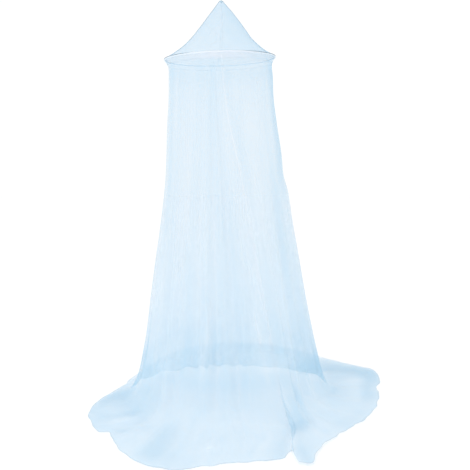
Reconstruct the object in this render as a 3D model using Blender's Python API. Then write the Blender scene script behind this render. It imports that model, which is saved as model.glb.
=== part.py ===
"""A round hung net canopy: a cone of four gores, a hoop in a folded casing, and one long net
curtain that falls from the casing, flares and lies in a pool on the floor.

Metres, +Z up. The front, with the slit, faces -Y. The origin is where a ceiling hook bears in the
hanging loop. Heights in the tables are above the floor, which is hang_height below the origin.
Bearings are in degrees about the hoop's axis: 0 is +X, 90 is the back, 270 is the front.
"""

import math
from collections import namedtuple

import bmesh
import bpy

# Driving sizes
HOOP_OUTSIDE_RADIUS = 0.3015  # over the casing
HOOP_HEIGHT = 1.880
CROWN_HEIGHT = 0.300  # hoop to the tip of the cone
LOOP_RISE = 0.036  # tip of the cone to where the hook bears
HOOP_SHIFT = -0.007  # the hoop's axis hangs this far left of the loop
HOOP_SLOPE = 0.030  # and its right side hangs higher: rise over run
SEAM_BEARING = 272.0  # the front seam of the cone, and the head of the slit below it
SLIT_HEAD_HEIGHT = 1.828
FACETS = 48  # flats round the hoop and the casing

CLOTH = 0.0012
GAP = 0.0003  # between pieces that touch
HOOP_TUBE_RADIUS = 0.0035
CASING_BORE = 0.0040
CASING_DROP = 0.034  # hoop's centre line to the mouth of the casing, along its slant
CASING_SLANT = 60.0  # degrees below level, going inwards
CURTAIN_TUCK = 0.007  # how far the curtain reaches into the casing

FOLDS = 24
COLUMNS_PER_FOLD = 5
GORES = 4
GORE_COLUMNS = 10
TIP_RADIUS = 0.006

TAPE = 0.0015  # the hanging loop's tape
TAPE_WIDTH = 0.007
EYE_RADIUS = 0.009
LOOP_NARROWING = 0.62  # how much narrower the loop is at its foot, as a share of its width
ENDS_RADIUS = TIP_RADIUS - 0.7 * CLOTH
ENDS_LENGTH = 0.012

hang_height = HOOP_HEIGHT + CROWN_HEIGHT + LOOP_RISE
casing_outside = CASING_BORE + CLOTH
hoop_radius = HOOP_OUTSIDE_RADIUS - casing_outside

# The cone's profile at its seams: height above the hoop, radius, and how far the cone leans
# from the hoop's axis towards the loop
ConeRow = namedtuple("ConeRow", "height radius lean")
CONE = [
    ConeRow(0.300, TIP_RADIUS, 0.0070),
    ConeRow(0.272, 0.030, 0.0090),
    ConeRow(0.240, 0.057, 0.0110),
    ConeRow(0.197, 0.091, 0.0115),
    ConeRow(0.150, 0.128, 0.0100),
    ConeRow(0.105, 0.164, 0.0065),
    ConeRow(0.070, 0.201, 0.0050),
    ConeRow(0.036, 0.246, 0.0015),
    ConeRow(casing_outside + GAP + 0.4 * CLOTH, 0.2950, 0.0000),
]
GORE_SAG = 0.05  # how far a gore's middle lies inside its seams, as a share of the radius

# How the cloth flows round the canopy, from the right free edge (share 0) by the back to the left
# one (share 1): its bearing at the casing, and how much of each free edge's swing it follows
FlowRow = namedtuple("FlowRow", "share casing right_swing left_swing")
FLOW = [
    FlowRow(0.000, 272.0, 1.00, 0.00),
    FlowRow(0.100, 316.0, 0.28, 0.00),
    FlowRow(0.220, 365.0, 0.00, 0.00),
    FlowRow(0.750, 574.0, 0.00, 0.00),
    FlowRow(0.865, 617.0, 0.00, 0.06),
    FlowRow(1.000, 632.0, 0.00, 1.00),
]

# The curtain, row by row from the casing to the foot, where it meets the floor. The reaches are
# those of the fold crests, depth is crest to valley, slit is how far the right free edge has
# swung round from the seam, and lap is how far the left free edge passes beneath it (a gap where
# it is negative), both in degrees.
HangRow = namedtuple("HangRow", "height left right front back depth slit lap")
HANGING = [
    HangRow(SLIT_HEAD_HEIGHT, 0.276, 0.277, 0.276, 0.276, 0.002, 0.0, 0.0),
    HangRow(1.780, 0.277, 0.284, 0.278, 0.276, 0.005, 1.0, -2.6),
    HangRow(1.690, 0.279, 0.288, 0.283, 0.279, 0.009, 2.8, -3.6),
    HangRow(1.530, 0.290, 0.310, 0.297, 0.284, 0.015, 7.0, -2.8),
    HangRow(1.370, 0.297, 0.337, 0.309, 0.289, 0.020, 13.2, -1.0),
    HangRow(1.250, 0.304, 0.351, 0.319, 0.294, 0.024, 16.8, 0.8),
    HangRow(1.170, 0.312, 0.375, 0.327, 0.298, 0.027, 18.8, 1.6),
    HangRow(0.980, 0.338, 0.408, 0.347, 0.308, 0.032, 23.2, 2.6),
    HangRow(0.780, 0.370, 0.447, 0.371, 0.320, 0.038, 27.2, 3.4),
    HangRow(0.580, 0.400, 0.484, 0.397, 0.332, 0.044, 30.7, 4.2),
    HangRow(0.390, 0.426, 0.524, 0.424, 0.344, 0.049, 33.2, 5.0),
    HangRow(0.220, 0.457, 0.564, 0.450, 0.356, 0.053, 35.2, 5.6),
    HangRow(0.100, 0.484, 0.595, 0.470, 0.366, 0.052, 36.2, 6.0),
]
FOOT = HangRow(0.000, 0.505, 0.612, 0.486, 0.376, 0.000, 37.0, 6.0)

# The pool: spread is the share of the way from the foot to the hem, rise the height of the cloth
# in the valleys, and lift how far the ridges stand over them
PoolRow = namedtuple("PoolRow", "spread rise depth lift slit lap")
POOL = [
    PoolRow(0.06, 0.036, 0.038, 0.010, 36.0, 6.0),
    PoolRow(0.20, 0.000, 0.014, 0.040, 34.0, 6.0),
    PoolRow(0.45, 0.000, 0.000, 0.036, 29.0, 6.0),
    PoolRow(0.75, 0.000, 0.000, 0.024, 23.0, 6.0),
    PoolRow(1.00, 0.000, 0.000, 0.004, 21.2, 6.0),
]

# The hem on the floor: bearing, and reach from the hoop's axis
HemPoint = namedtuple("HemPoint", "bearing reach")
HEM = [
    HemPoint(293.2, 0.893),
    HemPoint(296.2, 0.936),
    HemPoint(300.0, 0.884),
    HemPoint(305.3, 0.836),
    HemPoint(316.8, 0.814),
    HemPoint(335.4, 0.868),
    HemPoint(356.0, 0.918),
    HemPoint(360.2, 0.922),
    HemPoint(364.5, 0.966),
    HemPoint(374.4, 1.002),
    HemPoint(380.1, 0.938),
    HemPoint(397.5, 0.828),
    HemPoint(443.0, 0.795),
    HemPoint(475.0, 0.690),
    HemPoint(512.0, 0.572),
    HemPoint(531.7, 0.578),
    HemPoint(546.1, 0.654),
    HemPoint(558.0, 0.748),
    HemPoint(568.0, 0.785),
    HemPoint(579.2, 0.798),
    HemPoint(582.4, 0.766),
    HemPoint(591.4, 0.816),
    HemPoint(605.3, 0.885),
    HemPoint(615.0, 0.896),
    HemPoint(625.1, 0.840),
    HemPoint(636.0, 0.815),
    HemPoint(649.9, 0.830),
    HemPoint(655.0, 0.786),
    HemPoint(663.0, 0.770),
]

PLAIN_EDGE = 0.038  # share of the width, at each free edge, that has no folds
FOLD_START = 0.030  # and the share over which the folds then grow to full depth
LAP_STAND_OFF = 0.012  # the right edge lies this far outside the left one, where they lap
LAP_WIDTH = 0.045  # share of the width that stands off so


def smooth(x):
    """0 at 0 and below, 1 at 1 and above, level at both ends."""
    x = min(max(x, 0.0), 1.0)
    return x * x * (3 - 2 * x)


def curve_at(table, x):
    """The table's other columns at x in its first one, on a smooth curve through its rows that
    never swings past them."""
    last = len(table) - 1
    row = max((i for i in range(last) if table[i][0] <= x), default=0)

    def slope(i, column):
        """The curve's slope at row i, from the steps before and after it."""
        steps = [
            (table[k + 1][column] - table[k][column]) / (table[k + 1][0] - table[k][0])
            for k in (max(i - 1, 0), min(i, last - 1))
        ]
        before, after = steps
        return 2 * before * after / (before + after) if before * after > 0 else 0.0

    span = table[row + 1][0] - table[row][0]
    t = min(max((x - table[row][0]) / span, 0.0), 1.0)
    return [
        (2 * t**3 - 3 * t**2 + 1) * table[row][column]
        + (t**3 - 2 * t**2 + t) * span * slope(row, column)
        + (3 * t**2 - 2 * t**3) * table[row + 1][column]
        + (t**3 - t**2) * span * slope(row + 1, column)
        for column in range(1, len(table[0]))
    ]


def facet_factor(bearing):
    """How far a flat of the faceted casing lies inside its circle, as a share of the radius."""
    half = 180.0 / FACETS
    within = (bearing - SEAM_BEARING) % (2 * half) - half
    return math.cos(math.radians(half)) / math.cos(math.radians(within))


def at_bearing(radius, bearing, height, slope=HOOP_SLOPE, lean=0.0):
    """The point at that radius, bearing and height above the floor, on a plane of that slope."""
    angle = math.radians(bearing)
    x = radius * math.cos(angle)
    return (HOOP_SHIFT + lean + x, radius * math.sin(angle), height - hang_height + slope * x)


def reach_between(row, bearing):
    """The row's reach at a bearing: quarter ellipses through its four named reaches."""
    angle = math.radians(bearing)
    across, along = math.cos(angle), math.sin(angle)
    side = row.right if across > 0 else row.left
    end = row.back if along > 0 else row.front
    return 1 / math.hypot(across / side, along / end)


def curtain_bearing(width, row, unevenness):
    """The bearing of the share width of the curtain's width. unevenness is 0 to 1."""
    casing, right_swing, left_swing = curve_at(FLOW, width)
    uneven = 5.0 * math.sin(2 * math.pi * 3 * width + 1.1) + 2.5 * math.sin(2 * math.pi * 7 * width)
    uneven *= unevenness * smooth(width / 0.2) * smooth((1 - width) / 0.2)
    return casing + uneven + right_swing * row.slit + left_swing * (row.slit + row.lap)


def fold_wave(width):
    """1 on a fold's crest, and -1 in its valley."""
    return math.cos(2 * math.pi * FOLDS * width)


def fold_size(width):
    """How deep the folds are here, as a share of their row's depth. None is quite like the next,
    and they fade out before the free edges."""
    size = 1 + 0.28 * math.sin(2 * math.pi * 2 * width + 0.7) + 0.22 * math.sin(2 * math.pi * 9 * width)
    right_fade = smooth((width - PLAIN_EDGE) / FOLD_START)
    left_fade = smooth((1 - width - PLAIN_EDGE) / FOLD_START)
    return size * right_fade * left_fade


def lap_offset(width):
    """How far the right free edge's strip stands off, where it lies over the left one."""
    return LAP_STAND_OFF * (1 - smooth((width - LAP_WIDTH) / LAP_WIDTH))


def curtain_in_casing(widths, along):
    """The curtain where the casing holds it, at the distance along from the hoop's centre line.
    A column stands at each corner of the faceted casing, so that the cloth follows its flats."""
    bearings = [curve_at(FLOW, width)[0] for width in widths]
    for flat in range(1, FACETS):
        corner = SEAM_BEARING + 360 * flat / FACETS
        nearest = min(range(len(bearings)), key=lambda column: abs(bearings[column] - corner))
        bearings[nearest] = corner
    slant = math.radians(CASING_SLANT)
    radius = hoop_radius - along * math.cos(slant)
    height = HOOP_HEIGHT - along * math.sin(slant)
    return [at_bearing(radius * facet_factor(b), b, height) for b in bearings]


def curtain_hanging(width, row):
    """The curtain between the casing and its foot."""
    fallen = 1 - row.height / SLIT_HEAD_HEIGHT
    bearing = curtain_bearing(width, row, smooth(2 * fallen))
    valley = row.depth * fold_size(width) * (1 - fold_wave(width)) / 2
    radius = reach_between(row, bearing) - valley + lap_offset(width) * smooth(4 * fallen)
    return at_bearing(radius, bearing, row.height, HOOP_SLOPE * (1 - fallen))


def curtain_on_floor(width, row):
    """The curtain in its pool, flat on the floor in the valleys between its ridges."""
    bearing = curtain_bearing(width, row, 1.0)
    foot = reach_between(FOOT, bearing)
    room = curve_at(HEM, bearing)[0] - foot
    crest = max(fold_wave(width), -0.8)
    ridge = row.lift * fold_size(width) * (crest + 0.8) / 1.8
    valley = row.depth * fold_size(width) * (1 - fold_wave(width)) / 2
    height = CLOTH / 2 + row.rise + ridge + lap_offset(width)
    return at_bearing(foot + room * row.spread - valley, bearing, height, 0.0)


def curtain_rows():
    """The curtain's points, one list for each row from the casing to the hem."""
    columns = FOLDS * COLUMNS_PER_FOLD
    widths = [column / columns for column in range(columns + 1)]
    rows = [curtain_in_casing(widths, CASING_DROP - CURTAIN_TUCK)]
    rows.append(curtain_in_casing(widths, CASING_DROP + 0.002))
    rows += [[curtain_hanging(width, row) for width in widths] for row in HANGING]
    rows += [[curtain_on_floor(width, row) for width in widths] for row in POOL]
    return rows


def gore_rows(first_bearing):
    """One gore of the cone, from its tip to the casing. Its side edges stop short of the seams."""
    rows = []
    for level, station in enumerate(CONE):
        sweep = 360.0 / GORES
        clear = math.degrees(0.75 * GAP / station.radius)
        middle = math.sin(math.pi * level / (len(CONE) - 1))
        row = []
        for column in range(GORE_COLUMNS + 1):
            share = column / GORE_COLUMNS
            bearing = first_bearing + clear + (sweep - 2 * clear) * share
            sag = GORE_SAG * middle * (1 - math.cos(2 * math.pi * share)) / 2
            height = HOOP_HEIGHT + station.height
            slope = HOOP_SLOPE * (1 - station.height / CROWN_HEIGHT)
            radius = station.radius * (1 - sag)
            row.append(at_bearing(radius, bearing, height, slope, station.lean))
        rows.append(row)
    return rows


def casing_section():
    """The casing's section, as (radius, height): a strip folded round the hoop, both its legs
    slanting in and down to the mouth that holds the curtain."""
    slant = math.radians(CASING_SLANT)
    inward, down = -math.cos(slant), -math.sin(slant)
    steps = 6

    def side(bore, half_mouth):
        """One face of the strip, from mouth to mouth round the hoop."""
        turn = math.atan2(half_mouth, CASING_DROP) + math.acos(bore / math.hypot(CASING_DROP, half_mouth))
        angles = [turn + (2 * math.pi - 2 * turn) * step / steps for step in range(steps + 1)]
        arc = [(bore * math.cos(a), bore * math.sin(a)) for a in angles]
        return [(CASING_DROP, half_mouth), *arc, (CASING_DROP, -half_mouth)]

    mouth = CLOTH / 2 + GAP
    outline = side(casing_outside, mouth + CLOTH) + side(CASING_BORE, mouth)[::-1]
    return [(hoop_radius + a * inward - b * down, a * down + b * inward) for a, b in outline]


def tube_section():
    """The hoop's round section, as (radius, height)."""
    sides = 8
    angles = [2 * math.pi * side / sides for side in range(sides)]
    return [
        (hoop_radius + HOOP_TUBE_RADIUS * math.cos(a), HOOP_TUBE_RADIUS * math.sin(a)) for a in angles
    ]


def material(name, colour, roughness, metallic=0.0, alpha=1.0):
    made = bpy.data.materials.new(name)
    made.use_nodes = True
    shader = made.node_tree.nodes["Principled BSDF"]
    shader.inputs["Base Color"].default_value = (*colour, 1.0)
    shader.inputs["Roughness"].default_value = roughness
    shader.inputs["Metallic"].default_value = metallic
    shader.inputs["Alpha"].default_value = alpha
    return made


def add_object(name, mesh, finish):
    made = bpy.data.objects.new(name, mesh)
    made.data.materials.append(finish)
    bpy.context.scene.collection.objects.link(made)
    return made


def mesh_of(name, points, faces):
    """A mesh with its doubled points merged, such as those of a closed sheet's two ends."""
    mesh = bpy.data.meshes.new(name)
    mesh.from_pydata(points, [], faces)
    work = bmesh.new()
    work.from_mesh(mesh)
    bmesh.ops.remove_doubles(work, verts=work.verts, dist=0.00002)
    bmesh.ops.recalc_face_normals(work, faces=work.faces)
    work.to_mesh(mesh)
    work.free()
    return mesh


def add_cloth(name, rows, finish):
    """A sheet of cloth through rows of points, given its thickness by Solidify."""
    wide = len(rows[0])
    faces = [
        (i * wide + j, i * wide + j + 1, (i + 1) * wide + j + 1, (i + 1) * wide + j)
        for i in range(len(rows) - 1)
        for j in range(wide - 1)
    ]
    mesh = mesh_of(name, [point for row in rows for point in row], faces)
    sheet = add_object(name, mesh, finish)
    thick = sheet.modifiers.new("Cloth thickness", "SOLIDIFY")
    thick.thickness = CLOTH
    thick.offset = 0.0
    thick.use_even_offset = True
    return sheet


def add_ring(name, section, finish):
    """A section carried round the hoop's axis on the faceted circle."""
    count = len(section)
    points = [
        at_bearing(radius, SEAM_BEARING + 360 * flat / FACETS, HOOP_HEIGHT + height)
        for flat in range(FACETS)
        for radius, height in section
    ]
    faces = [
        (
            flat * count + i,
            flat * count + (i + 1) % count,
            (flat + 1) % FACETS * count + (i + 1) % count,
            (flat + 1) % FACETS * count + i,
        )
        for flat in range(FACETS)
        for i in range(count)
    ]
    return add_object(name, mesh_of(name, points, faces), finish)


def loop_point(radius, angle, y):
    """A point of the hanging loop's tape. The loop is round where it hangs from the hook, and
    narrows towards its foot. angle is 90 at the top and 270 at the foot."""
    across, up = math.cos(math.radians(angle)), math.sin(math.radians(angle))
    fall = (1 - up) / 2
    narrowed = 1 - LOOP_NARROWING * fall**2
    drawn_down = (LOOP_RISE - 2 * EYE_RADIUS) * fall
    return (radius * across * narrowed, y, radius * up - EYE_RADIUS - drawn_down)


def add_hanging_loop(finish):
    """A loop of tape that a hook goes through, and its rolled ends, sewn into the cone's tip."""
    steps = 20
    section = [
        (EYE_RADIUS, -TAPE_WIDTH / 2),
        (EYE_RADIUS, TAPE_WIDTH / 2),
        (EYE_RADIUS + TAPE, TAPE_WIDTH / 2),
        (EYE_RADIUS + TAPE, -TAPE_WIDTH / 2),
    ]
    points = [loop_point(radius, 360 * step / steps, y) for step in range(steps) for radius, y in section]
    faces = [
        (
            4 * step + i,
            4 * step + (i + 1) % 4,
            4 * ((step + 1) % steps) + (i + 1) % 4,
            4 * ((step + 1) % steps) + i,
        )
        for step in range(steps)
        for i in range(4)
    ]
    loop = add_object("hanging_loop", mesh_of("hanging_loop", points, faces), finish)

    top = -LOOP_RISE - TAPE / 2
    work = bmesh.new()
    bmesh.ops.create_cone(
        work, segments=12, radius1=ENDS_RADIUS, radius2=ENDS_RADIUS, depth=ENDS_LENGTH, cap_ends=True
    )
    bmesh.ops.translate(work, verts=work.verts, vec=(0.0, 0.0, top - ENDS_LENGTH / 2))
    ends_mesh = bpy.data.meshes.new("rolled_ends")
    work.to_mesh(ends_mesh)
    work.free()
    ends = add_object("rolled_ends", ends_mesh, finish)
    ends.hide_render = True
    ends.display_type = "WIRE"
    join = loop.modifiers.new("Rolled ends", "BOOLEAN")
    join.operation = "UNION"
    join.object = ends
    return loop


def main():
    for old in list(bpy.data.objects):
        bpy.data.objects.remove(old)

    net = material("pale blue net", (0.62, 0.80, 0.93), 0.8, alpha=0.5)
    folded_net = material("folded net casing", (0.70, 0.84, 0.94), 0.8)
    plastic = material("white plastic hoop", (0.72, 0.78, 0.82), 0.4)
    tape = material("white woven tape", (0.80, 0.87, 0.92), 0.75)

    for gore in range(GORES):
        first = SEAM_BEARING + 360.0 * gore / GORES
        add_cloth(f"crown_gore_{gore + 1}", gore_rows(first), net)
    add_ring("hoop", tube_section(), plastic).data.shade_smooth()
    add_ring("hoop_casing", casing_section(), folded_net)
    add_cloth("curtain", curtain_rows(), net)
    add_hanging_loop(tape)


main()
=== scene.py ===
# Looks for a round hung mosquito net canopy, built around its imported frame.
# Metres, +Z up. The front, with the slit, faces -Y, and the origin is where the ceiling hook bears.
# Bearings are degrees round the hoop's axis: 0 is +X, 90 the back, 270 the front.
# Heights in the tables are above the floor.
import math

import bpy
import numpy as np
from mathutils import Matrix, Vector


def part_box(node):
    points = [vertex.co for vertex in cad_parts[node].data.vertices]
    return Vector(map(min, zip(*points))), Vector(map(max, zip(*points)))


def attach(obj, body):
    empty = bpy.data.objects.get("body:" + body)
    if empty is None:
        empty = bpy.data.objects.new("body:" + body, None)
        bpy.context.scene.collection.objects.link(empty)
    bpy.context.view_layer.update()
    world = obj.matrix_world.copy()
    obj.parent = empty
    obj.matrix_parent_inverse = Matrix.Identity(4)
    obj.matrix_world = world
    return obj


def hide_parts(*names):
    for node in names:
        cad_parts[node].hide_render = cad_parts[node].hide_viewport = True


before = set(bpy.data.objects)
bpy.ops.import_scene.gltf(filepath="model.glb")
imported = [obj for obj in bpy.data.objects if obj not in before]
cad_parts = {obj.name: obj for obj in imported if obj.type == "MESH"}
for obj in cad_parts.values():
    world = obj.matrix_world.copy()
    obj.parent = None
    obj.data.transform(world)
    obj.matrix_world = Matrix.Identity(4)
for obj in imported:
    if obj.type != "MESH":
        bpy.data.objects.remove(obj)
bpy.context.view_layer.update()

scene = bpy.context.scene
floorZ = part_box("curtain")[0].z
hangHeight = -floorZ


def linearColour(hexText):
    parts = [int(hexText[i:i + 2], 16) / 255 for i in (1, 3, 5)]
    return tuple(p / 12.92 if p <= 0.04045 else ((p + 0.055) / 1.055) ** 2.4 for p in parts) + (1.0,)


def darker(hexText, share):
    return tuple(c * share for c in linearColour(hexText)[:3]) + (1.0,)


def addNode(tree, kind, settings=None, **inputs):
    # inputs are named in camelCase after the sockets, or in0, in1 ... by their place
    node = tree.nodes.new(kind)
    for key, value in (settings or {}).items():
        setattr(node, key, value)
    names = {}
    for i, socket in enumerate(node.inputs):
        names[f"in{i}"] = socket
        if socket.enabled:
            words = socket.name.split()
            names.setdefault("".join([words[0].lower()] + words[1:]) if words else "", socket)
    for key, value in inputs.items():
        if isinstance(value, bpy.types.NodeSocket):
            tree.links.new(value, names[key])
        else:
            names[key].default_value = value
    return node


def newMaterial(name, **values):
    # a Principled material; values are set on the shader's own sockets
    material = bpy.data.materials.new(name)
    material.use_nodes = True
    tree = material.node_tree
    shader = tree.nodes["Principled BSDF"]
    for key, value in values.items():
        shader.inputs[key.replace("_", " ")].default_value = value
    return material, tree, shader


def patterned(tree, shader, pattern, low, high, bump=0.0, depth=0.0004):
    # the surface turns from one colour to the other with the pattern, and stands up a little with it
    shade = addNode(tree, "ShaderNodeMix", {"data_type": "RGBA"}, in0=pattern, in6=low, in7=high).outputs[2]
    tree.links.new(shade, shader.inputs["Base Color"])
    if bump:
        raised = addNode(tree, "ShaderNodeBump", strength=bump, distance=depth, height=pattern).outputs[0]
        tree.links.new(raised, shader.inputs["Normal"])
    return shade


def readTable(rows, at):
    # the table's other columns at each value of its first, on a smooth curve that never swings past them
    rows = np.array(rows, float)
    at = np.asarray(at, float)
    x, y = rows[:, 0], rows[:, 1:]
    step = np.diff(y, axis=0) / np.diff(x)[:, None]
    slope = np.concatenate([step[:1], np.zeros_like(step[1:]), step[-1:]])
    both = step[:-1] * step[1:]
    total = np.where(both > 0, step[:-1] + step[1:], 1.0)
    slope[1:-1] = np.where(both > 0, 2 * both / total, 0.0)
    row = np.clip(np.searchsorted(x, at, side="right") - 1, 0, len(x) - 2)
    span = (x[row + 1] - x[row])[..., None]
    t = np.clip((at - x[row])[..., None] / span, 0, 1)
    return (
        (2 * t**3 - 3 * t**2 + 1) * y[row]
        + (t**3 - 2 * t**2 + t) * span * slope[row]
        + (3 * t**2 - 2 * t**3) * y[row + 1]
        + (t**3 - t**2) * span * slope[row + 1]
    )


def smooth(x):
    x = np.clip(x, 0, 1)
    return x * x * (3 - 2 * x)


def place(radius, bearing, height, slope=0.0, lean=0.0):
    # points at a radius, bearing and height above the floor, on a plane that rises to the right
    angle = np.radians(bearing)
    x = radius * np.cos(angle)
    z = height - hangHeight + slope * x
    return np.stack([canopy["hoopShift"] + lean + x, radius * np.sin(angle), z], -1)


def gridMesh(name, points, cloth, material, **fields):
    # a sheet through rows of points; cloth is each point's place on the flat cloth, in metres
    rows, columns = points.shape[:2]
    index = np.arange(rows * columns).reshape(rows, columns)
    faces = np.stack([index[:-1, :-1], index[:-1, 1:], index[1:, 1:], index[1:, :-1]], -1).reshape(-1, 4)
    mesh = bpy.data.meshes.new(name)
    mesh.from_pydata(points.reshape(-1, 3).tolist(), [], faces.tolist())
    for layer, places in (("cloth", cloth), ("OFBake", spreadOut(rows, columns))):
        uv = mesh.uv_layers.new(name=layer)
        uv.data.foreach_set("uv", places.reshape(-1, 2)[faces.reshape(-1)].astype(np.float32).ravel())
    for field, values in fields.items():
        attribute = mesh.attributes.new(field, "FLOAT", "POINT")
        attribute.data.foreach_set("value", values.astype(np.float32).ravel())
    mesh.shade_smooth()
    mesh.materials.append(material)
    piece = bpy.data.objects.new(name, mesh)
    scene.collection.objects.link(piece)
    return piece


def spreadOut(rows, columns, margin=0.002):
    # the sheet spread over the whole of the UV square
    across = np.linspace(margin, 1 - margin, columns)
    down = np.linspace(1 - margin, margin, rows)
    return np.stack(np.meshgrid(across, down), -1)


def clothPlaces(points):
    # how far each point lies along the cloth from the middle column, and down it from the first row
    across = np.linalg.norm(np.diff(points, axis=1), axis=2)
    across = np.concatenate([np.zeros((len(points), 1)), np.cumsum(across, axis=1)], axis=1)
    across -= across[:, points.shape[1] // 2][:, None]
    down = np.linalg.norm(np.diff(points, axis=0), axis=2).mean(axis=1)
    down = np.concatenate([[0.0], np.cumsum(down)])
    return np.stack([across, np.repeat(down[:, None], points.shape[1], axis=1)], -1)


def clothArea(points):
    crossed = np.cross(points[1:, 1:] - points[:-1, :-1], points[1:, :-1] - points[:-1, 1:])
    return np.linalg.norm(crossed, axis=-1).sum() / 2


# The net is a fine warp-knitted polyester: hexagonal holes of 1.5 mm between thin, slightly shiny threads,
# so a single layer takes about a fifth of the light and layers over each other turn it bluer.
netLook = {
    "colour": "#9BCBE7",
    "threadColour": "#A4D0EA",
    "cell": 0.0025,  # the real holes are 1.5 mm; drawn coarser so that they show from near by
    "threadAlpha": 0.30,
    "holeAlpha": 0.062,
    "roughness": 0.62,
    "streakWidth": 0.120,  # soft gathers, over and above the mesh folds
    "streakLength": 0.90,
    "streakDepth": 0.06,
}
# the cone is pulled tight, so its streaks are short and fine
tautLook = {**netLook, "streakWidth": 0.05, "streakLength": 0.20}
# folded double round the hoop: closer and finely puckered, with a painted highlight, a paler colour, where it
# faces the light
casingLook = {
    **netLook, "paleColour": "#D3DFF1", "streakWidth": 0.008, "streakLength": 0.05, "streakDepth": 0.12,
}


def hexPattern(tree, places, cell):
    # the sum of three waves at 60 degrees: 3 in the middle of each hole and -1 to -1.5 along the threads
    waves = None
    for turn in (0, 60, 120):
        k = 4 * math.pi / (math.sqrt(3) * cell)
        along = (k * math.cos(math.radians(turn)), k * math.sin(math.radians(turn)), 0)
        dot = addNode(tree, "ShaderNodeVectorMath", {"operation": "DOT_PRODUCT"}, in0=places, in1=along)
        wave = addNode(tree, "ShaderNodeMath", {"operation": "COSINE"}, in0=dot.outputs["Value"]).outputs[0]
        if waves is None:
            waves = wave
        else:
            waves = addNode(tree, "ShaderNodeMath", {"operation": "ADD"}, in0=waves, in1=wave).outputs[0]
    return waves


def netMaterial(name, look):
    # the piece's gather attribute says how many layers of net its surface stands for
    material, tree, shader = newMaterial(
        name, Roughness=look["roughness"], IOR=1.5, Sheen_Weight=0.15, Specular_IOR_Level=0.25
    )
    places = addNode(tree, "ShaderNodeUVMap", {"uv_map": "cloth"}).outputs[0]
    waves = hexPattern(tree, places, look["cell"])
    thread = addNode(
        tree, "ShaderNodeMapRange", {"interpolation_type": "SMOOTHSTEP"},
        value=waves, fromMin=0.6, fromMax=-0.7, toMin=0.0, toMax=1.0,
    ).outputs[0]
    layer = addNode(
        tree, "ShaderNodeMapRange", value=thread, toMin=look["holeAlpha"], toMax=look["threadAlpha"]
    ).outputs[0]

    # gathers: long soft streaks down the cloth, on top of what the mesh folds hold
    stretch = (1 / look["streakWidth"], 1 / look["streakLength"], 1.0)
    at = addNode(tree, "ShaderNodeVectorMath", {"operation": "MULTIPLY"}, in0=places, in1=stretch).outputs[0]
    streak = addNode(
        tree, "ShaderNodeTexNoise", {"noise_dimensions": "2D"},
        vector=at, scale=1.0, detail=1.0, roughness=0.5,
    ).outputs["Fac"]
    depth = look["streakDepth"]
    streak = addNode(
        tree, "ShaderNodeMapRange", value=streak, fromMin=0.3, fromMax=0.7, toMin=1 - depth, toMax=1 + depth
    ).outputs[0]
    gather = addNode(tree, "ShaderNodeAttribute", {"attribute_name": "gather"}).outputs["Fac"]
    layers = addNode(tree, "ShaderNodeMath", {"operation": "MULTIPLY"}, in0=gather, in1=streak).outputs[0]

    clear = addNode(tree, "ShaderNodeMath", {"operation": "SUBTRACT"}, in0=1.0, in1=layer).outputs[0]
    clear = addNode(tree, "ShaderNodeMath", {"operation": "POWER"}, in0=clear, in1=layers).outputs[0]
    alpha = addNode(tree, "ShaderNodeMath", {"operation": "SUBTRACT"}, in0=1.0, in1=clear).outputs[0]
    tree.links.new(alpha, shader.inputs["Alpha"])

    colour, threadColour = linearColour(look["colour"]), linearColour(look["threadColour"])
    shade = patterned(tree, shader, thread, colour, threadColour, bump=0.25)
    # painted highlight: the colour is mixed towards a paler one where the casing faces the light
    if "paleColour" in look:
        pale = addNode(tree, "ShaderNodeAttribute", {"attribute_name": "pale"}).outputs["Fac"]
        patterned(tree, shader, pale, shade, linearColour(look["paleColour"]))
    return material


def threadMaterial(name, colour, alpha=1.0):
    # spun polyester thread and narrow rolled hems: matt and twisted, a fine line a little deeper than the net
    material, tree, shader = newMaterial(name, Roughness=0.7, IOR=1.5, Alpha=alpha)
    at = addNode(tree, "ShaderNodeTexCoord").outputs["Object"]
    twist = 900  # turns in a metre
    grain = addNode(tree, "ShaderNodeTexNoise", vector=at, scale=twist, detail=2.0).outputs["Fac"]
    patterned(tree, shader, grain, darker(colour, 0.85), linearColour(colour), bump=0.3, depth=0.0005)
    return material


def tubeMaterial(name, colour, lineColour):
    # extruded polyethylene tube: smooth and slightly waxy, so it shines softly, with faint lines along it
    material, tree, shader = newMaterial(name, IOR=1.5)
    around = addNode(tree, "ShaderNodeAttribute", {"attribute_name": "around"}).outputs["Fac"]
    lines = addNode(
        tree, "ShaderNodeTexNoise", {"noise_dimensions": "1D"}, w=around, scale=60.0, detail=1.0
    ).outputs["Fac"]
    rough = addNode(tree, "ShaderNodeMapRange", value=lines, toMin=0.28, toMax=0.42).outputs[0]
    tree.links.new(rough, shader.inputs["Roughness"])
    patterned(tree, shader, lines, linearColour(colour), linearColour(lineColour))
    return material


def tapeMaterial(name, colour):
    # woven polyester tape: matt and finely ribbed
    material, tree, shader = newMaterial(name, Roughness=0.65, IOR=1.5)
    along = addNode(tree, "ShaderNodeAttribute", {"attribute_name": "along"}).outputs["Fac"]
    around = addNode(tree, "ShaderNodeAttribute", {"attribute_name": "around"}).outputs["Fac"]
    places = addNode(tree, "ShaderNodeCombineXYZ", x=along, y=around).outputs[0]
    ribs = (1000, 18, 1)  # 1 mm along the tape, and 18 round it; the real weave is 0.5 mm and would not show
    places = addNode(tree, "ShaderNodeVectorMath", {"operation": "MULTIPLY"}, in0=places, in1=ribs).outputs[0]
    weave = addNode(tree, "ShaderNodeTexChecker", vector=places, scale=1.0).outputs["Fac"]
    patterned(tree, shader, weave, linearColour(colour), darker(colour, 0.8), bump=0.4)
    return material


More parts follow.
